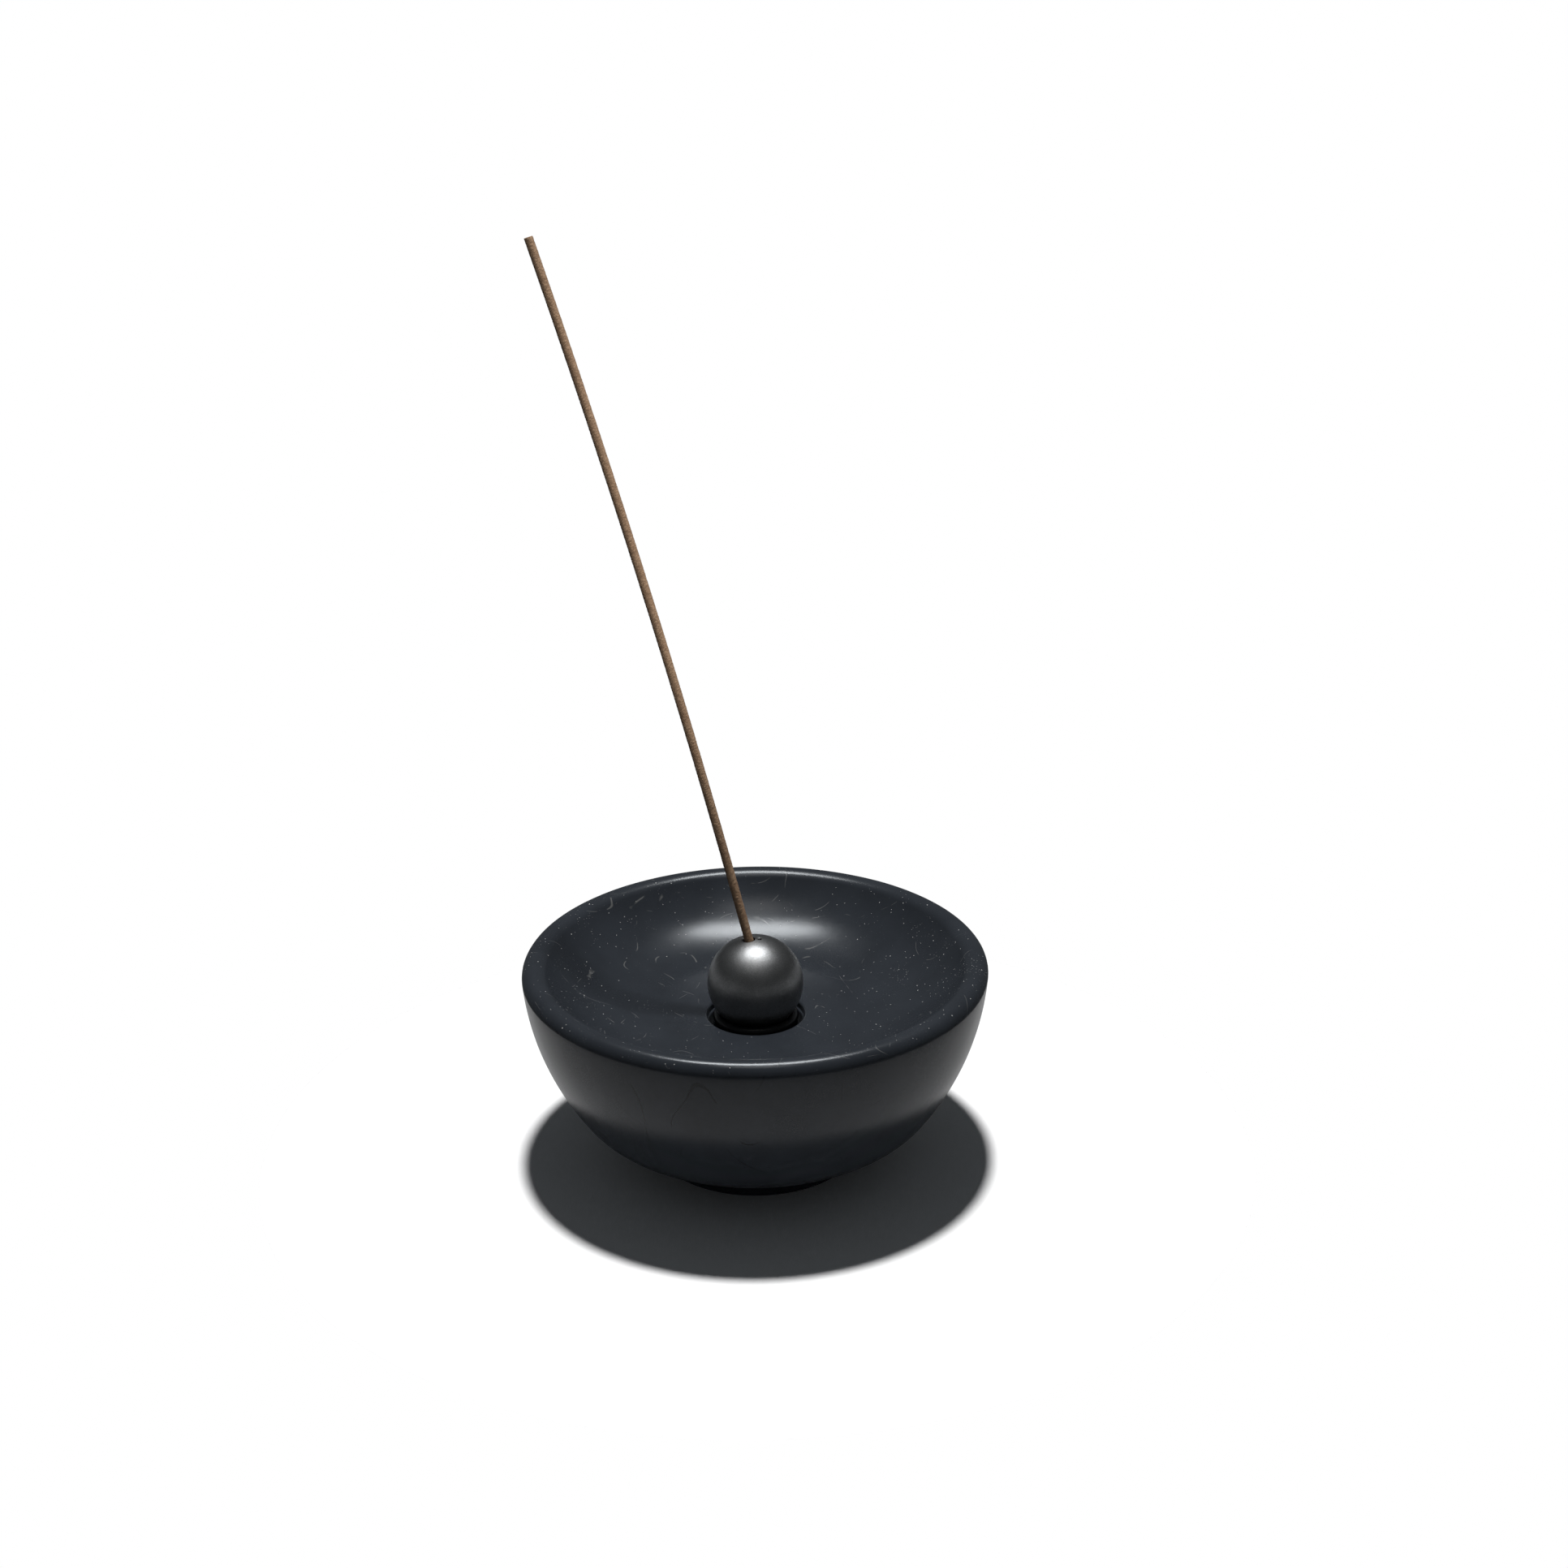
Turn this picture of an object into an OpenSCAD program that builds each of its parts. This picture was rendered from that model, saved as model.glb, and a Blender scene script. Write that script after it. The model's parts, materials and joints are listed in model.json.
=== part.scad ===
// Incense burner: a round glazed dish with a loose ball seated on a ring in its floor.
// The ball holds one incense stick, which leans over the dish so that its ash falls in.
// +Z is up, and the origin is the middle of the face that the dish rests on.
// Lengths are in millimetres and angles in degrees.

/* [Dish] */
// Widest diameter, across the rim
dish_d = 97; // [92:0.5:102]
// Height from the table to the crown of the rim
dish_h = 44.5; // [43:0.5:48]
// Depth from the crown of the rim to the flat floor
floor_depth = 12.8; // [11.5:0.1:14]
// Radius of the rim's outer edge
rim_outer_r = 2.6; // [2.2:0.1:3]
// Radius of the rim's inner edge
rim_inner_r = 3.2; // [2.8:0.1:3.6]
// Radius of the inside curve from the floor up to the rim
sweep_r = 27; // [22:1:30]
// Radius of the long curve of the outer wall
wall_r = 56; // [55:0.5:60]
// Lean of the outer wall just under the rim, from the vertical
wall_lean = 4.5; // [4:0.1:6]
// Lean of the outer wall where it starts to turn under
turn_lean = 36; // [34:0.5:38]
// Radius of the curve that turns under to the foot
turn_r = 16; // [15:0.5:18]

/* [Foot] */
// Diameter of the foot
foot_d = 43.4; // [40:0.2:46]
// Radius of the foot's lower edge
foot_edge_r = 0.7; // [0.3:0.1:1]
// Diameter of the pad under the foot
pad_d = 37; // [30:0.5:38]
// Thickness of the pad
pad_t = 1.5; // [1:0.1:2.5]

/* [Ball seat] */
// Diameter of the recess in the floor
recess_d = 20.4; // [19.5:0.1:22]
// Radius of the recess's upper edge
recess_edge_r = 0.6; // [0.3:0.1:0.8]
// Inside diameter of the seat ring
ring_id = 14; // [13:0.1:14.5]
// Thickness of the seat ring
ring_t = 2; // [1.5:0.1:2.2]
// Height of the seat ring above the dish floor
ring_proud = 0.4; // [0.2:0.1:0.6]
// Diameter of the deeper well under the ball
well_d = 13; // [12:0.1:13.5]

/* [Ball] */
// Diameter of the ball
ball_d = 20; // [19:0.5:21]
// Diameter of the hole that holds the stick
stick_hole_d = 2.6; // [2.3:0.1:2.8]
// Depth of the stick's hole
stick_hole_depth = 11; // [8:0.5:12]
// Diameter of the hole for thinner sticks
thin_hole_d = 1.1; // [1:0.1:1.2]
// Depth of the hole for thinner sticks
thin_hole_depth = 6; // [4:0.5:8]
// Distance of the stick's hole to the left of the ball's top
hole_left = 1.25; // [1:0.05:1.5]
// Distance from the stick's hole to the thin hole
hole_pitch = 2.15; // [2.1:0.05:2.4]

/* [Stick] */
// Diameter of the stick
stick_d = 1.9; // [1.5:0.1:2]
// Length of the stick
stick_length = 160; // [80:5:200]
// Lean of the stick from the vertical, where it stands in the ball
stick_lean = 15.7; // [5:0.1:25]
// Direction that the stick leans in, from +X
stick_azimuth = 150.5; // [140:0.5:175]
// Radius of the stick's slight bow
stick_bow_r = 1800; // [1200:50:4000]

/* [Hidden] */
// Segments of a full turn of the dish, the pad, the ring and the ball
turn_fn = 144;
// Segments of the long outer wall's circle
wall_fn = 720;
// Segments of the middling curves of the dish's section
curve_fn = 360;
// Segments of small edges and holes
fine_fn = 96;
// Segments of the stick's round section
stick_fn = 48;
// Segments of the stick's bow in a full turn, so that its short stretch is smooth
bow_fn = 2880;
// Clearance between a loose piece and what it rests on
rest_gap = 0.05;
// Clearance of the well under the ball
well_gap = 0.4;
// How far a cutting shape runs past what it cuts
over = 5;

rim_x = dish_d / 2 - rim_outer_r;
rim_z = dish_h - rim_outer_r;
inner_z = dish_h - rim_inner_r;
floor_z = dish_h - floor_depth;
wall_c = [rim_x - (wall_r - rim_outer_r) * cos(wall_lean), rim_z + (wall_r - rim_outer_r) * sin(wall_lean)];
turn_c = wall_c + (wall_r - turn_r) * [cos(turn_lean), -sin(turn_lean)];
// The inside curve touches the floor at sweep_x and the rim's inner edge at its far end
sweep_z = floor_z + sweep_r;
sweep_x = rim_x - sqrt(pow(sweep_r + rim_inner_r, 2) - pow(sweep_z - inner_z, 2));
foot_r = foot_d / 2;

ring_r = ring_t / 2;
ring_x = ring_id / 2 + ring_r;
ring_z = floor_z + ring_proud - ring_r;
shelf_z = ring_z - ring_r - rest_gap;
ball_r = ball_d / 2;
ball_z = ring_z + sqrt(pow(ball_r + ring_r + rest_gap, 2) - pow(ring_x, 2));
well_z = ball_z - ball_r - well_gap;

// Unit vector along the stick's hole, out of the ball
hole_axis = [
    sin(stick_lean) * cos(stick_azimuth),
    sin(stick_lean) * sin(stick_azimuth),
    cos(stick_lean)
];
stick_mouth = [-hole_left, 0, ball_z + sqrt(pow(ball_r, 2) - pow(hole_left, 2))];
thin_x = hole_pitch - hole_left;
thin_mouth = [thin_x, 0, ball_z + sqrt(pow(ball_r, 2) - pow(thin_x, 2))];
stick_foot = stick_mouth - (stick_hole_depth - rest_gap) * hole_axis;
stick_sweep = stick_length / stick_bow_r * 180 / PI;

// The dish's section left of the outer wall, before its inside is cut
module dish_outline() {
    // Long outer wall
    intersection() {
        translate(wall_c) circle(r = wall_r, $fn = wall_fn);
        polygon([
            wall_c,
            wall_c + 2 * wall_r * [cos(wall_lean), -sin(wall_lean)],
            wall_c + 2 * wall_r * [cos(turn_lean), -sin(turn_lean)]
        ]);
        square([dish_d, dish_h]);
    }
    // Turn under to the foot
    intersection() {
        translate(turn_c) circle(r = turn_r, $fn = curve_fn);
        square([dish_d, floor_z]);
    }
    // Middle of the dish
    translate([0, turn_c[1]]) square([turn_c[0], floor_z - turn_c[1]]);
    foot_outline();
}

module foot_outline() {
    square([foot_r - foot_edge_r, turn_c[1]]);
    translate([0, foot_edge_r]) square([foot_r, turn_c[1] - turn_r + foot_edge_r]);
    translate([foot_r - foot_edge_r, foot_edge_r]) circle(r = foot_edge_r, $fn = fine_fn);
}

// Everything above the floor and the inside curve
module hollow_outline() {
    translate([-over, floor_z]) square([sweep_x + over, floor_depth + over]);
    translate([sweep_x, sweep_z]) circle(r = sweep_r, $fn = curve_fn);
    polygon([
        [sweep_x, sweep_z],
        [rim_x, inner_z],
        [rim_x, sweep_z + over],
        [sweep_x, sweep_z + over]
    ]);
}

module rim_outline() {
    translate([rim_x, rim_z]) circle(r = rim_outer_r, $fn = fine_fn);
    intersection() {
        translate([rim_x, inner_z]) circle(r = rim_inner_r, $fn = fine_fn);
        translate([rim_x - rim_inner_r, inner_z - rim_inner_r]) square([rim_inner_r, 2 * rim_inner_r]);
    }
}

// Recess for the seat ring, its rounded upper edge and the well under the ball
module seat_outline() {
    translate([-over, shelf_z]) square([recess_d / 2 + over, floor_z - shelf_z + over]);
    translate([-over, well_z]) square([well_d / 2 + over, floor_z - well_z]);
    difference() {
        translate([recess_d / 2 - recess_edge_r, floor_z - recess_edge_r])
            square([2 * recess_edge_r, recess_edge_r + over]);
        translate([recess_d / 2 + recess_edge_r, floor_z - recess_edge_r])
            circle(r = recess_edge_r, $fn = fine_fn);
    }
}

// Glazed dish, with a shallow recess under the foot for the pad
module dish_body() {
    color("#24272c")
        rotate_extrude($fn = turn_fn)
            difference() {
                union() {
                    difference() {
                        dish_outline();
                        hollow_outline();
                    }
                    rim_outline();
                }
                seat_outline();
                translate([-over, -over]) square([pad_d / 2 + over, pad_t + over]);
                translate([-over, -over]) square([over, dish_h + 2 * over]);
            }
}

// Soft pad, flush with the foot
module base_pad() {
    color("#1d1d1f")
        cylinder(d = pad_d, h = pad_t, $fn = turn_fn);
}

// Rubber ring that the ball stands on
module seat_ring() {
    color("#0d0d0f")
        translate([0, 0, ring_z])
            rotate_extrude($fn = turn_fn)
                translate([ring_x, 0]) circle(r = ring_r, $fn = fine_fn);
}

// Blind hole along the stick's direction, drilled from its mouth
module drilled_hole(mouth, d, depth) {
    translate(mouth)
        rotate([0, 0, stick_azimuth])
            rotate([0, stick_lean, 0])
                translate([0, 0, -depth])
                    cylinder(d = d, h = depth + over, $fn = fine_fn);
}

// Steel ball with two parallel holes
module ball() {
    color("#55524f")
        difference() {
            translate([0, 0, ball_z]) sphere(d = ball_d, $fn = turn_fn);
            drilled_hole(stick_mouth, stick_hole_d, stick_hole_depth);
            drilled_hole(thin_mouth, thin_hole_d, thin_hole_depth);
        }
}

// Round stick with a slight bow, which starts along its hole
module incense_stick() {
    color("#9a7b5e")
        translate(stick_foot)
            rotate([0, 0, stick_azimuth])
                rotate([0, 180 + stick_lean, 0])
                    rotate([-90, 0, 0])
                        translate([-stick_bow_r, 0, 0])
                            rotate_extrude(angle = stick_sweep, $fn = bow_fn)
                                translate([stick_bow_r, 0]) circle(d = stick_d, $fn = stick_fn);
}

dish_body();
base_pad();
seat_ring();
ball();
incense_stick();
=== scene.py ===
"""Looks of the incense burner: a glazed dish, a pad, a rubber ring, a steel ball and an incense stick.

Everything is in metres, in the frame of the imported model, unless a name ends in _mm.
"""

import json
from math import atan2, ceil, cos, exp, hypot, pi, radians, sin, sqrt, tan

import bmesh
import bpy
from mathutils import Matrix, Vector, noise


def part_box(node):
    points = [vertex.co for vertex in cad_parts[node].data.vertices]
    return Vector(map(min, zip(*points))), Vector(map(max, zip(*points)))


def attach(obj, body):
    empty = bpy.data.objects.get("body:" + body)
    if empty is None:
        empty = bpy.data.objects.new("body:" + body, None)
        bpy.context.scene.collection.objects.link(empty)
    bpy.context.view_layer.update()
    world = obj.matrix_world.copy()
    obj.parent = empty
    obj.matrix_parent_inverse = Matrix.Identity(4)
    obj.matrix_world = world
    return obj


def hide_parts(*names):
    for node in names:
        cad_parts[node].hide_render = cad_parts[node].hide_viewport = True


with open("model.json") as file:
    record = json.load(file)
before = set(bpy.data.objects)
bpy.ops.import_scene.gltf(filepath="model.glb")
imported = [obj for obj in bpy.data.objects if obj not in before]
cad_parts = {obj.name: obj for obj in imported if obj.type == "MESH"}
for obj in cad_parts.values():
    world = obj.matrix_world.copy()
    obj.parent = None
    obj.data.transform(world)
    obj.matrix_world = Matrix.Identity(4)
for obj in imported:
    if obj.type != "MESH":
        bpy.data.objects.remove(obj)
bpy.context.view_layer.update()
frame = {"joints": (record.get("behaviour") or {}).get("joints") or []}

MM = 0.001
joints = {joint["name"]: joint for joint in frame["joints"]}

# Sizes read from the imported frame
dish_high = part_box("dish_body")[1]
ring_low, ring_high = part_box("seat_ring")
pad_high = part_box("base_pad")[1]
ball_low, ball_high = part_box("ball")
ball_centre = Vector(joints["ball_tilt"]["pos_m"])
ball_r = ball_high.x
hole_axis = Vector(joints["stick_pull"]["axis"])

# Dish, in millimetres
DISH_R = dish_high.x / MM
DISH_TOP = dish_high.z / MM
FLOOR_Z = DISH_TOP - 12.8
RIM_OUTER_R = 2.6
RIM_INNER_R = 3.2
SWEEP_R = 27
WALL_R = 56
WALL_LEAN = radians(4.5)
TURN_LEAN = radians(36)
TURN_R = 16
FOOT_R = 21.7
FOOT_EDGE_R = 0.7
RECESS_R = 10.2
RECESS_EDGE_R = 0.6
WELL_R = 6.5
WELL_DROP = 0.4
REST_GAP = 0.05
# Holes in the ball, in millimetres: radius, depth, mouth to the right of the top, rounding of the lip
STICK_HOLE = {"r": 1.3, "depth": 11, "x": -1.25, "lip": 0.18}
THIN_HOLE = {"r": 0.55, "depth": 6, "x": 0.9, "lip": 0.08}
# Stick, in millimetres
STICK_R = 0.95
STICK_LENGTH = 160
STICK_BOW_R = 1800

# Camera and light
VIEW_RISE = radians(26)
VIEW_DISTANCE = 0.5658
WIDEST_Z = 0.0419
AIM = Vector((0.0064, 0, 0.0832))
VIEW_ROLL = radians(-0.58)
LENS_MM = 62.2
FLOOR_RADIUS = 0.105


# ---------------------------------------------------------------- mesh helpers

def arc(centre, radius, start, end, step):
    """Points along an arc, from start to end (radians), no further apart than step."""
    count = max(2, ceil(abs(end - start) * radius / step))
    angles = [start + (end - start) * i / count for i in range(count + 1)]
    return [(centre[0] + radius * cos(a), centre[1] + radius * sin(a)) for a in angles]


def line(start, end, step):
    """Points along a straight line, no further apart than step."""
    count = max(1, ceil(hypot(end[0] - start[0], end[1] - start[1]) / step))
    return [
        (start[0] + (end[0] - start[0]) * i / count, start[1] + (end[1] - start[1]) * i / count)
        for i in range(count + 1)
    ]


def trimmed(path, reach):
    """The path without its last points that are nearer to its end than reach."""
    end = path[-1]
    return [p for p in path if hypot(p[0] - end[0], p[1] - end[1]) > reach]


def joined(paths, reaches):
    """One outline from several that meet end to end. Each meeting is rounded off over its reach."""
    outline = list(paths[0])
    for path, reach in zip(paths[1:], reaches):
        if reach == 0:
            outline += path[1:]
            continue
        corner = path[0]
        before = trimmed(outline, reach)
        after = list(reversed(trimmed(list(reversed(path)), reach)))
        a, b = before[-1], after[0]
        bend = 6
        curve = []
        for i in range(1, bend):
            t = i / bend
            shares = ((1 - t) ** 2, 2 * t * (1 - t), t * t)
            curve.append(tuple(shares[0] * a[k] + shares[1] * corner[k] + shares[2] * b[k] for k in (0, 1)))
        outline = before + curve + after
    return outline


def lathe(name, outline_mm, turns, closed=False, start_on_axis=False, end_on_axis=False):
    """A turned mesh about Z from an outline of (radius, height) points."""
    mesh = bpy.data.meshes.new(name)
    bm = bmesh.new()
    rings = []
    for index, (radius, height) in enumerate(outline_mm):
        on_axis = (index == 0 and start_on_axis) or (index == len(outline_mm) - 1 and end_on_axis)
        if on_axis:
            rings.append([bm.verts.new((0, 0, height * MM))])
            continue
        ring = []
        for i in range(turns):
            a = 2 * pi * i / turns
            ring.append(bm.verts.new((radius * MM * cos(a), radius * MM * sin(a), height * MM)))
        rings.append(ring)
    pairs = list(zip(rings, rings[1:]))
    if closed:
        pairs.append((rings[-1], rings[0]))
    for lower, upper in pairs:
        for i in range(turns):
            j = (i + 1) % turns
            if len(lower) == 1:
                bm.faces.new((lower[0], upper[j], upper[i]))
            elif len(upper) == 1:
                bm.faces.new((lower[i], lower[j], upper[0]))
            else:
                bm.faces.new((lower[i], lower[j], upper[j], upper[i]))
    bmesh.ops.recalc_face_normals(bm, faces=bm.faces)
    bm.to_mesh(mesh)
    bm.free()
    mesh.polygons.foreach_set("use_smooth", [True] * len(mesh.polygons))
    return mesh


def placed(name, mesh):
    """A new object in the scene for a mesh."""
    piece = bpy.data.objects.new(name, mesh)
    bpy.context.scene.collection.objects.link(piece)
    return piece


def finished(piece, body, node, material):
    """Makes the piece stand for a CAD node, on that node's body, in its material slot."""
    piece.data.materials.clear()
    piece.data.materials.append(material)
    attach(piece, body)
    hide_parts(node)
    return piece


# ---------------------------------------------------------------- material helpers

class Look:
    """A node material. Its textures are laid out in millimetres of the piece's own space."""

    def __init__(self, name, **finish):
        self.material = bpy.data.materials.new(name)
        self.material.use_nodes = True
        self.tree = self.material.node_tree
        self.shader = self.tree.nodes["Principled BSDF"]
        for socket, value in finish.items():
            self.shader.inputs[socket.replace("_", " ")].default_value = value
        place = self.node("ShaderNodeTexCoord").outputs["Object"]
        self.place = self.stretched(place, (1 / MM,) * 3)

    def node(self, kind, inputs=(), **settings):
        made = self.tree.nodes.new(kind)
        for key, value in settings.items():
            setattr(made, key, value)
        for key, value in dict(inputs).items():
            if isinstance(value, bpy.types.NodeSocket):
                self.tree.links.new(value, made.inputs[key])
            else:
                made.inputs[key].default_value = value
        return made

    def stretched(self, vector, scale):
        return self.node("ShaderNodeVectorMath", {0: vector, 1: scale}, operation="MULTIPLY").outputs[0]

    def moved(self, vector, offset):
        return self.node("ShaderNodeVectorMath", {0: vector, 1: offset}, operation="ADD").outputs[0]

    def noise(self, per_mm, detail=2, roughness=0.5, place=None, output="Fac"):
        inputs = {"Vector": place or self.place, "Scale": per_mm, "Detail": detail, "Roughness": roughness}
        return self.node("ShaderNodeTexNoise", inputs).outputs[output]

    def cells(self, per_mm, feature="F1", place=None, output="Distance"):
        inputs = {"Vector": place or self.place, "Scale": per_mm}
        return self.node("ShaderNodeTexVoronoi", inputs, feature=feature).outputs[output]

    def maths(self, operation, a, b=0.0, clamp=False):
        return self.node("ShaderNodeMath", {0: a, 1: b}, operation=operation, use_clamp=clamp).outputs[0]

    def span(self, value, low, high, to_low=0.0, to_high=1.0):
        inputs = {"Value": value, "From Min": low, "From Max": high, "To Min": to_low, "To Max": to_high}
        return self.node("ShaderNodeMapRange", inputs, clamp=True).outputs[0]

    def mix(self, share, a, b):
        made = self.node("ShaderNodeMix", data_type="RGBA")
        for index, value in ((0, share), (6, a), (7, b)):
            if isinstance(value, bpy.types.NodeSocket):
                self.tree.links.new(value, made.inputs[index])
            elif index == 0:
                made.inputs[index].default_value = value
            else:
                made.inputs[index].default_value = (*value, 1)
        return made.outputs[2]

    def threads(self, per_mm, width, patch_per_mm, least):
        """Thin curved lines, where a smooth noise crosses its middle, left only in patches."""
        level = self.maths("ABSOLUTE", self.maths("SUBTRACT", self.noise(per_mm, 1), 0.5))
        thread = self.span(level, width * 0.4, width, 1, 0)
        return self.maths("MULTIPLY", thread, self.span(self.noise(patch_per_mm, 1), least, least + 0.08))

    def bump(self, height, depth_mm, under=None):
        inputs = {"Height": height, "Distance": depth_mm * MM, "Strength": 1.0}
        if under is not None:
            inputs["Normal"] = under
        return self.node("ShaderNodeBump", inputs).outputs[0]

    def warped(self, per_mm, reach_mm):
        """The place shifted about by noise, up to reach_mm each way."""
        shift = self.noise(per_mm, 2, output="Color")
        shift = self.moved(shift, (-0.5, -0.5, -0.5))
        shift = self.stretched(shift, (2 * reach_mm,) * 3)
        return self.node("ShaderNodeVectorMath", {0: self.place, 1: shift}, operation="ADD").outputs[0]

    def height(self):
        return self.node("ShaderNodeSeparateXYZ", {0: self.place}).outputs[2]

    def to(self, socket, value):
        self.tree.links.new(value, self.shader.inputs[socket])


def glaze_look():
    """Black satin glaze with dust, hairs and dark hairlines, and bare clay under the foot."""
    look = Look("black_glaze", IOR=1.5, Specular_IOR_Level=0.3)
    facing = look.node("ShaderNodeNewGeometry").outputs["Normal"]
    facing_up = look.node("ShaderNodeSeparateXYZ", {0: facing}).outputs[2]
    inside = look.span(facing_up, 0.25, 0.6)

    cloud = look.noise(0.07, 4, 0.6)
    colour = look.mix(look.span(cloud, 0.3, 0.7), (0.0150, 0.0175, 0.0215), (0.0215, 0.0250, 0.0305))
    grain = look.noise(9, 2, 0.6)
    colour = look.mix(look.span(grain, 0.35, 0.75, 0, 0.35), colour, (0.030, 0.034, 0.041))

    # Fine hairs and shallow scratches, broken up into short curved lengths
    hair = look.threads(0.030, 0.0013, 0.26, 0.54)
    hair = look.maths("MAXIMUM", hair, look.threads(0.047, 0.0016, 0.31, 0.55))
    hair = look.maths("MULTIPLY", hair, inside)
    colour = look.mix(look.maths("MULTIPLY", hair, 0.45), colour, (0.17, 0.17, 0.165))

    # Dark hairlines on the outer wall
    lines = look.threads(0.026, 0.0035, 0.06, 0.44)
    lines = look.maths("MAXIMUM", lines, look.threads(0.04, 0.004, 0.09, 0.5))
    lines = look.maths("MULTIPLY", lines, look.span(facing_up, 0.1, 0.3, 1, 0))
    colour = look.mix(look.maths("MULTIPLY", lines, 0.75), colour, (0.004, 0.005, 0.006))

    # Dust and ash specks, thicker to the left and the right
    sideways = look.node("ShaderNodeSeparateXYZ", {0: look.place}).outputs[0]
    sideways = look.span(look.maths("ABSOLUTE", sideways), 12, 38)
    scatter = look.warped(0.9, 0.3)
    speckle = look.cells(1.2, place=scatter)
    size = look.cells(1.2, place=scatter, output="Color")
    size = look.node("ShaderNodeSeparateColor", {0: size}).outputs[0]
    size = look.maths("POWER", size, 2.2)
    size = look.maths("MULTIPLY", size, look.span(sideways, 0, 1, 0.10, 0.15))
    specks = look.maths("LESS_THAN", speckle, size)
    specks = look.maths("MULTIPLY", specks, inside)
    patches = look.span(look.noise(0.12, 2), 0.42, 0.70, 0, 0.13)
    patches = look.maths("MULTIPLY", patches, look.span(sideways, 0, 1, 0.4, 1))
    fine = look.maths("LESS_THAN", look.cells(1.9), patches)
    fine = look.maths("MULTIPLY", fine, inside)
    dust = look.maths("MAXIMUM", specks, look.maths("MULTIPLY", fine, 0.55))
    colour = look.mix(look.maths("MULTIPLY", dust, 0.9), colour, (0.55, 0.55, 0.54))

    # Bare clay where the foot stands
    height = look.height()
    bare = look.maths("MULTIPLY", look.span(height, 0.25, 0.45, 1, 0), look.span(facing_up, -0.9, -0.6, 1, 0))
    clay = look.mix(look.noise(1.4, 4, 0.65), (0.045, 0.036, 0.030), (0.085, 0.070, 0.058))
    colour = look.mix(bare, colour, clay)
    look.to("Base Color", colour)

    smudges = look.span(look.noise(0.05, 3, 0.6), 0.35, 0.65, 0.20, 0.26)
    rough = look.maths("ADD", smudges, look.span(grain, 0.3, 0.7, -0.02, 0.03))
    rough = look.maths("MAXIMUM", rough, look.maths("MULTIPLY", dust, 0.8))
    rough = look.maths("MAXIMUM", rough, look.maths("MULTIPLY", bare, 0.85), clamp=True)
    look.to("Roughness", rough)

    skin = look.bump(look.noise(3.2, 2, 0.55), 0.010)
    skin = look.bump(look.noise(11, 1, 0.5), 0.0035, skin)
    skin = look.bump(dust, 0.03, skin)
    skin = look.bump(hair, 0.004, skin)
    look.to("Normal", skin)
    return look.material


def steel_look():
    """Dark brushed steel, speckled by short strokes, a little stained near the stick, with painted shade
    inside its holes.
    """
    look = Look("brushed_steel", Metallic=1.0)
    strokes_place = look.stretched(look.place, (1.0, 1.0, 2.6))
    strokes = look.noise(3.4, 4, 0.7, strokes_place)
    speckle = look.noise(8.0, 2, 0.6, strokes_place)
    cloud = look.noise(0.25, 3)
    colour = look.mix(look.span(cloud, 0.3, 0.7), (0.230, 0.226, 0.223), (0.310, 0.305, 0.301))
    colour = look.mix(look.span(strokes, 0.35, 0.65, 0, 0.6), colour, (0.125, 0.122, 0.120))

    # Brown film of resin around the stick's hole
    from_mouth = look.node(
        "ShaderNodeVectorMath", {0: look.place, 1: tuple(mouth(STICK_HOLE) / MM)}, operation="DISTANCE"
    ).outputs["Value"]
    stain = look.span(from_mouth, 1.35, 3.2, 1, 0)
    stain = look.maths("MULTIPLY", stain, look.span(look.noise(0.9, 3), 0.35, 0.65))
    colour = look.mix(look.maths("MULTIPLY", stain, 0.45), colour, (0.085, 0.062, 0.045))

    # Painted shade: the walls inside the holes are painted nearly black and made rougher
    from_centre = look.node(
        "ShaderNodeVectorMath", {0: look.place, 1: tuple(ball_centre / MM)}, operation="DISTANCE"
    ).outputs["Value"]
    hole_walls_painted_dark = look.span(from_centre, ball_r / MM - 0.35, ball_r / MM - 0.05, 1, 0)
    colour = look.mix(hole_walls_painted_dark, colour, (0.022, 0.019, 0.017))
    look.to("Base Color", colour)

    rough = look.span(strokes, 0.3, 0.7, 0.32, 0.46)
    rough = look.maths("ADD", rough, look.maths("MULTIPLY", stain, 0.15))
    rough = look.maths("ADD", rough, look.maths("MULTIPLY", hole_walls_painted_dark, 0.4), clamp=True)
    look.to("Roughness", rough)
    skin = look.bump(strokes, 0.028)
    skin = look.bump(speckle, 0.012, skin)
    look.to("Normal", skin)
    return look.material


def rubber_look():
    """Glossy black rubber with a little dust."""
    look = Look("black_rubber", IOR=1.5, Specular_IOR_Level=0.25)
    dust = look.maths("LESS_THAN", look.cells(2.2), 0.06)
    bloom = look.noise(0.6, 4, 0.6)
    colour = look.mix(look.span(bloom, 0.35, 0.7), (0.006, 0.006, 0.007), (0.012, 0.012, 0.013))
    colour = look.mix(look.maths("MULTIPLY", dust, 0.5), colour, (0.3, 0.3, 0.29))
    look.to("Base Color", colour)
    look.to("Roughness", look.span(bloom, 0.3, 0.7, 0.34, 0.48))
    look.to("Normal", look.bump(look.noise(5, 2), 0.004))
    return look.material


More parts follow.
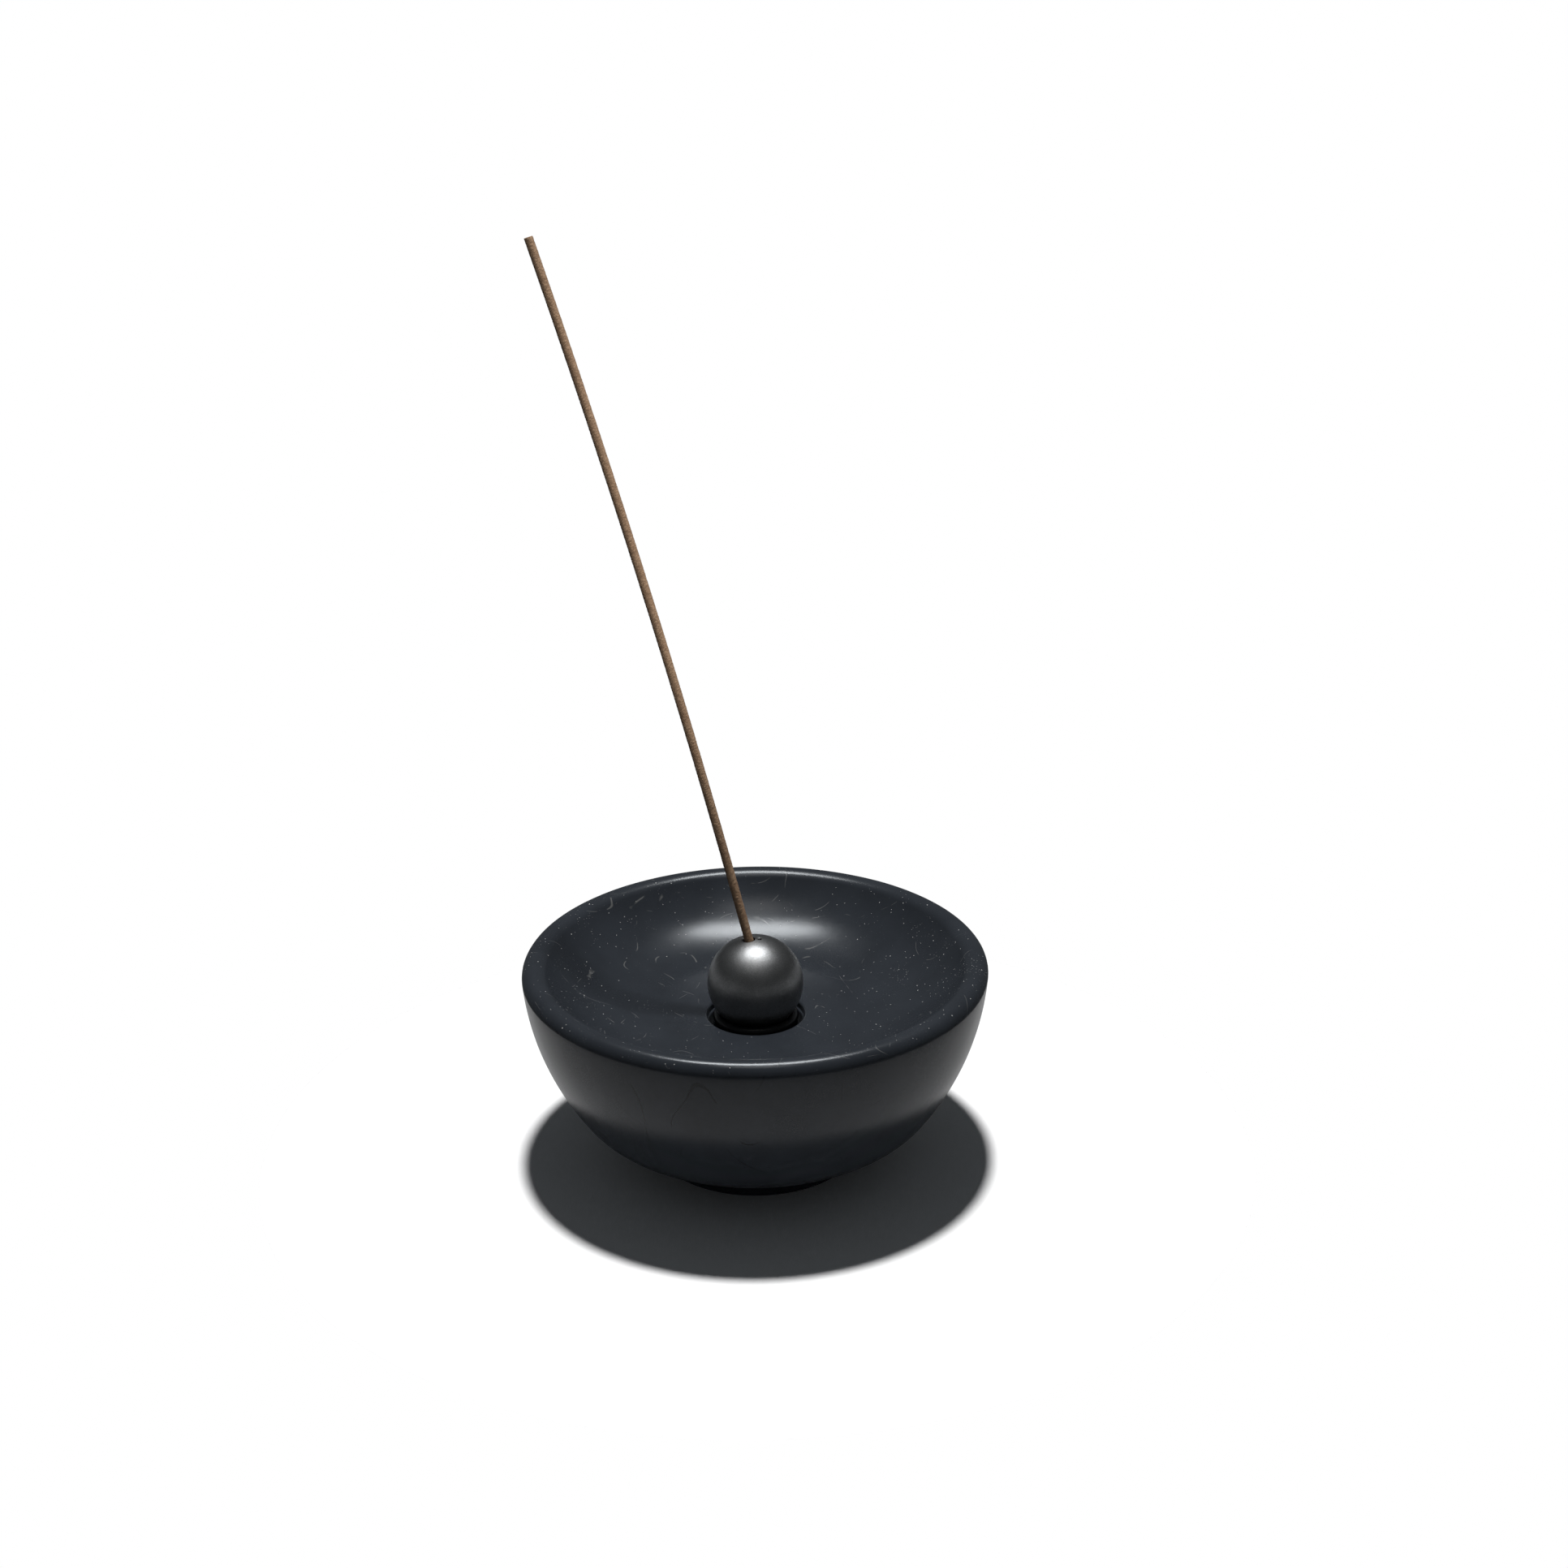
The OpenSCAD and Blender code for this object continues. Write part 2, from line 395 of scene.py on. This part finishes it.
def incense_look():
    """Tan pressed powder, with painted shade in its creases, and pale and dark grains."""
    look = Look("pressed_incense", IOR=1.4, Specular_IOR_Level=0.25)
    crease = look.node("ShaderNodeAttribute", attribute_name="crease").outputs["Fac"]
    blotch = look.noise(0.35, 4, 0.6)
    colour = look.mix(look.span(blotch, 0.3, 0.7), (0.335, 0.215, 0.135), (0.420, 0.285, 0.185))
    grains = look.noise(7, 3, 0.7)
    colour = look.mix(look.span(grains, 0.55, 0.75, 0, 0.6), colour, (0.56, 0.42, 0.29))
    colour = look.mix(look.span(grains, 0.28, 0.42, 0.6, 0), colour, (0.17, 0.10, 0.06))
    # Painted shade: the colour darkens with the depth of each crease
    colour = look.mix(look.maths("MULTIPLY", crease, 0.7), colour, (0.115, 0.065, 0.040))
    look.to("Base Color", colour)
    look.to("Roughness", look.span(grains, 0.3, 0.7, 0.80, 0.95))
    skin = look.bump(look.noise(9, 4, 0.7), 0.035)
    look.to("Normal", skin)
    return look.material


def felt_look():
    """Matted black felt."""
    look = Look("black_felt", IOR=1.4, Specular_IOR_Level=0.2, Sheen_Weight=0.25, Sheen_Roughness=0.5)
    fibres = look.noise(2.4, 5, 0.75, look.stretched(look.warped(0.8, 0.9), (1.0, 1.0, 3.0)))
    tufts = look.noise(0.45, 4, 0.65)
    colour = look.mix(look.span(tufts, 0.3, 0.7), (0.010, 0.010, 0.011), (0.020, 0.020, 0.021))
    colour = look.mix(look.span(fibres, 0.5, 0.75, 0, 0.6), colour, (0.050, 0.050, 0.052))
    look.to("Base Color", colour)
    look.to("Roughness", look.span(fibres, 0.3, 0.7, 0.88, 1.0))
    look.to("Normal", look.bump(fibres, 0.12))
    return look.material


# ---------------------------------------------------------------- pieces

def dish_outline():
    """Section of the dish, from the middle of its underside around to the middle of its well."""
    rim_x = DISH_R - RIM_OUTER_R
    rim_z = DISH_TOP - RIM_OUTER_R
    inner_z = DISH_TOP - RIM_INNER_R
    wall_c = (
        rim_x - (WALL_R - RIM_OUTER_R) * cos(WALL_LEAN),
        rim_z + (WALL_R - RIM_OUTER_R) * sin(WALL_LEAN),
    )
    turn_c = (
        wall_c[0] + (WALL_R - TURN_R) * cos(TURN_LEAN),
        wall_c[1] - (WALL_R - TURN_R) * sin(TURN_LEAN),
    )
    sweep_z = FLOOR_Z + SWEEP_R
    sweep_x = rim_x - sqrt((SWEEP_R + RIM_INNER_R) ** 2 - (sweep_z - inner_z) ** 2)
    sweep_end = atan2(inner_z - sweep_z, rim_x - sweep_x)
    foot_top = turn_c[1] - sqrt(TURN_R ** 2 - (FOOT_R - turn_c[0]) ** 2)
    turn_start = atan2(foot_top - turn_c[1], FOOT_R - turn_c[0])
    pad_r = pad_high.x / MM
    pad_top = pad_high.z / MM
    shelf_z = ring_low.z / MM - REST_GAP
    well_z = ball_low.z / MM - WELL_DROP

    fine, coarse = 0.12, 0.8
    underside = line((0, pad_top), (pad_r, pad_top), 3)
    pad_wall = line((pad_r, pad_top), (pad_r, 0), fine)
    foot_face = line((pad_r, 0), (FOOT_R - FOOT_EDGE_R, 0), fine)
    foot_edge = arc((FOOT_R - FOOT_EDGE_R, FOOT_EDGE_R), FOOT_EDGE_R, -pi / 2, 0, fine)
    foot_wall = line((FOOT_R, FOOT_EDGE_R), (FOOT_R, foot_top), fine)
    turn = arc(turn_c, TURN_R, turn_start, -TURN_LEAN, coarse / 2)
    wall = arc(wall_c, WALL_R, -TURN_LEAN, -WALL_LEAN, coarse)
    rim_outer = arc((rim_x, rim_z), RIM_OUTER_R, -WALL_LEAN, pi / 2, fine)
    rim_inner = arc((rim_x, inner_z), RIM_INNER_R, pi / 2, sweep_end + pi, fine)
    sweep = arc((sweep_x, sweep_z), SWEEP_R, sweep_end, -pi / 2, coarse / 2)
    floor = line((sweep_x, FLOOR_Z), (RECESS_R + RECESS_EDGE_R, FLOOR_Z), coarse)
    lip = arc((RECESS_R + RECESS_EDGE_R, FLOOR_Z - RECESS_EDGE_R), RECESS_EDGE_R, pi / 2, pi, fine)
    recess_wall = line((RECESS_R, FLOOR_Z - RECESS_EDGE_R), (RECESS_R, shelf_z), fine)
    shelf = line((RECESS_R, shelf_z), (WELL_R, shelf_z), fine)
    well_wall = line((WELL_R, shelf_z), (WELL_R, well_z), fine)
    well = line((WELL_R, well_z), (0, well_z), fine)
    return joined(
        [underside, pad_wall, foot_face, foot_edge, foot_wall, turn, wall, rim_outer, rim_inner,
         sweep, floor, lip, recess_wall, shelf, well_wall, well],
        [0, 0.3, 0, 0, 0.8, 0, 0, 0, 0, 0, 0, 0, 0.25, 0.25, 0.5],
    )


def make_dish():
    """The dish, turned and then left slightly uneven by its glaze."""
    mesh = lathe("dish", dish_outline(), 360, start_on_axis=True, end_on_axis=True)
    glaze_wave = 0.045 * MM
    foot_zone_z, foot_zone_r = 5, FOOT_R + 1.5
    seat_zone_r = RECESS_R + 3
    fade_inside, fade_outside = 6, 5
    long_wave, short_wave = 14 * MM, 5 * MM
    for vertex, normal in zip(mesh.vertices, [v.vector.copy() for v in mesh.vertex_normals]):
        radius = hypot(vertex.co.x, vertex.co.y) / MM
        height = vertex.co.z / MM
        on_foot = height < foot_zone_z and radius < foot_zone_r
        near_seat = radius < seat_zone_r
        if on_foot or near_seat:
            continue
        inside = height > FLOOR_Z - 1
        ease = (radius - seat_zone_r) / fade_inside if inside else (height - foot_zone_z) / fade_outside
        ease = min(1.0, ease)
        wave = noise.noise(vertex.co / long_wave) + 0.4 * noise.noise(vertex.co / short_wave)
        vertex.co -= normal * glaze_wave * max(0.0, ease) * (0.6 + 0.45 * wave)
    mesh.update()
    return finished(placed("glazed_dish", mesh), "dish", "dish_body", glaze_look())


def make_pad():
    """The felt pad, with a soft cut edge."""
    radius = pad_high.x / MM
    thick = pad_high.z / MM
    edge = 0.45
    nap_middle, nap_swing, nap_size = 0.05, 0.045, 1.1 * MM
    outline = (
        line((0, 0), (radius - edge, 0), 0.45)
        + arc((radius - edge, edge), edge, -pi / 2, 0, 0.09)[1:]
        + line((radius, edge), (radius, thick), 0.15)[1:]
        + line((radius, thick), (0, thick), 3)[1:]
    )
    mesh = lathe("pad", outline, 240, start_on_axis=True, end_on_axis=True)
    for vertex, normal in zip(mesh.vertices, [v.vector.copy() for v in mesh.vertex_normals]):
        if vertex.co.z > 0.9 * thick * MM:
            continue
        nap = noise.fractal(vertex.co / nap_size, 0.8, 2.0, 4)
        vertex.co -= normal * MM * (nap_middle + nap_swing * max(-1.0, min(1.0, nap)))
    mesh.update()
    return finished(placed("felt_pad", mesh), "dish", "base_pad", felt_look())


def make_ring():
    """The rubber ring, with the faint line that its mould leaves around the outside."""
    tube = (ring_high.z - ring_low.z) / 2 / MM
    middle_z = (ring_high.z + ring_low.z) / 2 / MM
    middle_x = ring_high.x / MM - tube
    flash, flash_width = 0.05, radians(4)
    outline = []
    steps = 72
    for i in range(steps):
        a = 2 * pi * i / steps
        turn = min(a, 2 * pi - a)
        r = tube - flash + flash * exp(-((turn / flash_width) ** 2))
        outline.append((middle_x + r * cos(a), middle_z + r * sin(a)))
    mesh = lathe("ring", outline, 240, closed=True)
    return finished(placed("rubber_ring", mesh), "seat", "seat_ring", rubber_look())


def mouth(hole):
    """Where a hole's axis leaves the ball."""
    x = hole["x"] * MM
    return Vector((x, 0, ball_centre.z + sqrt(ball_r ** 2 - x ** 2)))


def turned_to(mesh, axis, origin):
    """Turns a mesh's Z to an axis and moves its own origin to a place."""
    turn = Vector((0, 0, 1)).rotation_difference(axis).to_matrix().to_4x4()
    mesh.transform(Matrix.Translation(origin) @ turn)
    return mesh


def drill(hole):
    """The space of a drilled hole: a cylinder with a pointed end."""
    half_point_angle = radians(59)
    point = hole["r"] / tan(half_point_angle)
    outline = [(0, -hole["depth"]), (hole["r"], point - hole["depth"]), (hole["r"], 5), (0, 5)]
    mesh = lathe("drill", outline, 96, start_on_axis=True, end_on_axis=True)
    return placed("drill", turned_to(mesh, hole_axis, mouth(hole)))


def lip_cutter(hole):
    """The space that rounds a hole's lip, tangent to the ball."""
    big, lip = ball_r / MM, hole["lip"]
    reach = hole["r"] + lip
    centre = (reach, sqrt((big - lip) ** 2 - reach ** 2))
    curve = arc(centre, lip, pi, atan2(centre[1], centre[0]), lip / 6)
    last = curve[-1]
    grow = (big + 1) / big
    outline = [(0, curve[0][1])] + curve + [(last[0] * grow, last[1] * grow), (0, last[1] * grow)]
    mesh = lathe("lip", outline, 96, start_on_axis=True, end_on_axis=True)
    return placed("lip", turned_to(mesh, (mouth(hole) - ball_centre).normalized(), ball_centre))


def make_ball():
    """The steel ball, drilled for a stick and for a thinner one, with rounded lips."""
    mesh = bpy.data.meshes.new("ball")
    bm = bmesh.new()
    bmesh.ops.create_icosphere(bm, subdivisions=6, radius=ball_r, matrix=Matrix.Translation(ball_centre))
    bm.to_mesh(mesh)
    bm.free()
    piece = placed("steel_ball", mesh)
    cutters = [make(hole) for hole in (STICK_HOLE, THIN_HOLE) for make in (drill, lip_cutter)]
    for cutter in cutters:
        cut = piece.modifiers.new("cut", "BOOLEAN")
        cut.operation = "DIFFERENCE"
        cut.solver = "EXACT"
        cut.object = cutter
    bpy.context.view_layer.update()
    whole = piece.evaluated_get(bpy.context.evaluated_depsgraph_get())
    mesh = bpy.data.meshes.new_from_object(whole)
    mesh.name = "drilled_ball"
    piece.modifiers.clear()
    piece.data = mesh
    for cutter in cutters:
        bpy.data.objects.remove(cutter)
    mesh.polygons.foreach_set("use_smooth", [True] * len(mesh.polygons))
    normals = [v.vector.copy() for v in mesh.vertex_normals]
    on_surface = 0.004 * MM
    for vertex in mesh.vertices:
        out = vertex.co - ball_centre
        if abs(out.length - ball_r) < on_surface:
            normals[vertex.index] = out.normalized()
    mesh.normals_split_custom_set_from_vertices(normals)
    return finished(piece, "ball", "ball", steel_look())


def crease_depth(angle, along_mm):
    """How deep the stick's crinkled skin is at a place, from 0 to 1."""
    around = 1.1
    sheared = Vector((around * cos(angle), around * sin(angle), 2.3 * along_mm))
    crossing = Vector((around * cos(angle) + 31, around * sin(angle) + 7, 1.7 * along_mm + 1.2 * sin(angle)))
    first = 1 - min(1.0, 3.2 * abs(noise.noise(sheared)))
    second = 1 - min(1.0, 3.0 * abs(noise.noise(crossing)))
    fine = 0.5 + 0.5 * noise.noise(Vector((3 * cos(angle), 3 * sin(angle), 6 * along_mm)))
    return min(1.0, 0.75 * max(first, 0.8 * second) ** 1.5 + 0.25 * fine)


def make_stick():
    """The incense stick, slightly bowed, with the crinkled skin that pressing and drying leave."""
    start = mouth(STICK_HOLE) - (STICK_HOLE["depth"] - REST_GAP) * MM * hole_axis
    lean = Vector((hole_axis.x, hole_axis.y, 0)).normalized()
    side = (lean * hole_axis.z - Vector((0, 0, 1)) * hypot(hole_axis.x, hole_axis.y)).normalized()
    across = hole_axis.cross(side)
    around, spacing = 44, 0.115
    skin_depth, edge = 0.085, 0.14
    # tip_crease is the amount of painted crease shade given to the middle of each end
    pit_depth, tip_dip, tip_crease = 0.12, 0.06, 0.4
    count = round(STICK_LENGTH / spacing)
    cap_steps = 5

    def centre_at(s):
        turn = s / STICK_BOW_R
        bow = STICK_BOW_R * MM
        return start + bow * (sin(turn) * hole_axis + (1 - cos(turn)) * side)

    def frame_at(s):
        turn = s / STICK_BOW_R
        return cos(turn) * hole_axis + sin(turn) * side, cos(turn) * side - sin(turn) * hole_axis

    # Rings along the skin, then rings that close each end
    quarter = [pi / 2 * i / 3 for i in range(4)]
    stations = [(edge * (1 - cos(a)), STICK_R - edge * (1 - sin(a))) for a in quarter]
    stations += [(i * spacing, STICK_R) for i in range(2, count - 1)]
    stations += [(STICK_LENGTH - s, r) for s, r in reversed(stations[:4])]
    first_cap = [(0, (STICK_R - edge) * i / cap_steps) for i in range(1, cap_steps)]
    last_cap = [(STICK_LENGTH, r) for s, r in reversed(first_cap)]
    stations = first_cap + stations + last_cap

    mesh = bpy.data.meshes.new("stick")
    bm = bmesh.new()
    rings, creases = [], []
    for s, radius in stations:
        axis, out = frame_at(s)
        middle = centre_at(s)
        at_end = radius < STICK_R - edge * 0.5
        ring = []
        for i in range(around):
            angle = 2 * pi * i / around
            depth = crease_depth(angle, s)
            spoke = cos(angle) * out + sin(angle) * across
            if at_end:
                pit = 0.5 + 0.5 * noise.noise(Vector((radius * cos(angle), radius * sin(angle), s)) * 4)
                inward = axis if s < 1 else -axis
                co = middle + MM * (radius * spoke + pit_depth * pit * inward)
            else:
                co = middle + MM * (radius - skin_depth * depth) * spoke
            ring.append(bm.verts.new(co))
            creases.append(depth)
        rings.append(ring)
    for lower, upper in zip(rings, rings[1:]):
        for i in range(around):
            j = (i + 1) % around
            bm.faces.new((lower[i], lower[j], upper[j], upper[i]))
    for ring, s, sign in ((rings[0], 0, -1), (rings[-1], STICK_LENGTH, 1)):
        tip = bm.verts.new(centre_at(s) - sign * tip_dip * MM * frame_at(s)[0])
        creases.append(tip_crease)
        for i in range(around):
            j = (i + 1) % around
            bm.faces.new((ring[i], ring[j], tip) if sign > 0 else (ring[j], ring[i], tip))
    bmesh.ops.recalc_face_normals(bm, faces=bm.faces)
    bm.to_mesh(mesh)
    bm.free()
    mesh.polygons.foreach_set("use_smooth", [True] * len(mesh.polygons))
    # The crease depths also drive the painted shade in the stick's colour
    attribute = mesh.attributes.new("crease", "FLOAT", "POINT")
    attribute.data.foreach_set("value", creases)
    return finished(placed("crinkled_stick", mesh), "stick", "incense_stick", incense_look())


# ---------------------------------------------------------------- stage, light and camera

def make_floor():
    """A round pale floor, darker in reflections, so that the dish's sides stay dark."""
    mesh = bpy.data.meshes.new("floor")
    bm = bmesh.new()
    bmesh.ops.create_circle(bm, cap_ends=True, segments=180, radius=FLOOR_RADIUS)
    bm.to_mesh(mesh)
    bm.free()
    floor = placed("floor", mesh)
    floor.location.z = -0.1 * MM
    look = Look("pale_floor", Roughness=0.9, Specular_IOR_Level=0.0)
    pale = look.mix(look.noise(0.02, 3), (0.84, 0.84, 0.84), (0.88, 0.88, 0.88))
    reflected = look.node("ShaderNodeLightPath").outputs["Is Glossy Ray"]
    look.to("Base Color", look.mix(reflected, pale, (0.42, 0.42, 0.42)))
    floor.data.materials.append(look.material)


def lamp(name, kind, direction, distance, energy, colour=(1, 1, 1), target=(0, 0, FLOOR_Z * MM), **settings):
    """A lamp that stands off in a direction and shines at a target."""
    data = bpy.data.lights.new(name, kind)
    data.energy = energy
    data.color = colour
    for key, value in settings.items():
        setattr(data, key, value)
    light = bpy.data.objects.new(name, data)
    bpy.context.scene.collection.objects.link(light)
    direction = Vector(direction).normalized()
    light.location = Vector(target) + distance * direction
    light.rotation_euler = direction.to_track_quat("Z", "Y").to_euler()
    return light


def make_lights():
    """A light that casts the shadows, two panels for reflections, a side light and a dim room."""
    behind = radians(5)
    main = lamp(
        "main_light", "AREA", (0, sin(behind), cos(behind)), distance=1.4, energy=26, shape="DISK", size=0.12,
    )
    main.visible_glossy = False
    main.visible_camera = False

    # The panels are seen only in the glaze and the steel
    panel_behind = radians(10)
    panel = lamp(
        "overhead_panel", "AREA", (0, sin(panel_behind), cos(panel_behind)), distance=1.5, energy=27.0,
        colour=(0.93, 0.97, 1.0), shape="ELLIPSE", size=0.96, size_y=0.42,
    )
    glow_front = radians(14)
    glow = lamp(
        "front_panel", "AREA", (0, -sin(glow_front), cos(glow_front)), distance=1.5, energy=1.5,
        shape="ELLIPSE", size=0.6, size_y=0.4,
    )
    for reflected in (panel, glow):
        reflected.visible_diffuse = False
        reflected.visible_camera = False

    # The side light's cone passes over the rim, so it leaves the dish's shadow dark
    stick_middle = (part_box("incense_stick")[0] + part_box("incense_stick")[1]) / 2
    side = Vector((0.62, -0.78, 0.06)).normalized()
    side_light = lamp(
        "side_light", "SPOT", side, distance=0.6, energy=8.3, colour=(1.0, 0.97, 0.93),
        target=stick_middle + Vector((0, 0, 0.03)), spot_size=radians(17),
        spot_blend=0.7, shadow_soft_size=0.04,
    )
    side_light.visible_glossy = False

    world = bpy.data.worlds.new("room")
    world.use_nodes = True
    bpy.context.scene.world = world
    nodes, links = world.node_tree.nodes, world.node_tree.links
    room = nodes["Background"]
    room.inputs["Color"].default_value = (0.88, 0.94, 1.0, 1)
    room.inputs["Strength"].default_value = 0.07
    backdrop = nodes.new("ShaderNodeBackground")
    backdrop.inputs["Color"].default_value = (1, 1, 1, 1)
    backdrop.inputs["Strength"].default_value = 1.0
    ray = nodes.new("ShaderNodeLightPath")
    choose = nodes.new("ShaderNodeMixShader")
    links.new(ray.outputs["Is Camera Ray"], choose.inputs[0])
    links.new(room.outputs[0], choose.inputs[1])
    links.new(backdrop.outputs[0], choose.inputs[2])
    links.new(choose.outputs[0], nodes["World Output"].inputs["Surface"])


def make_camera():
    """A camera in front of the dish, looking down at it."""
    data = bpy.data.cameras.new("camera")
    data.lens = LENS_MM
    data.sensor_width = 36
    data.clip_start = 0.01
    data.clip_end = 20
    camera = bpy.data.objects.new("camera", data)
    bpy.context.scene.collection.objects.link(camera)
    away = Vector((0, -cos(VIEW_RISE), sin(VIEW_RISE)))
    camera.location = Vector((0, 0, WIDEST_Z)) + VIEW_DISTANCE * away
    look_at = (camera.location - AIM).to_track_quat("Z", "Y").to_matrix()
    camera.rotation_euler = (look_at @ Matrix.Rotation(VIEW_ROLL, 3, "Z")).to_euler()
    bpy.context.scene.camera = camera


make_dish()
make_pad()
make_ring()
make_ball()
make_stick()
make_floor()
make_lights()
make_camera()
bpy.context.scene.view_settings.view_transform = "Standard"
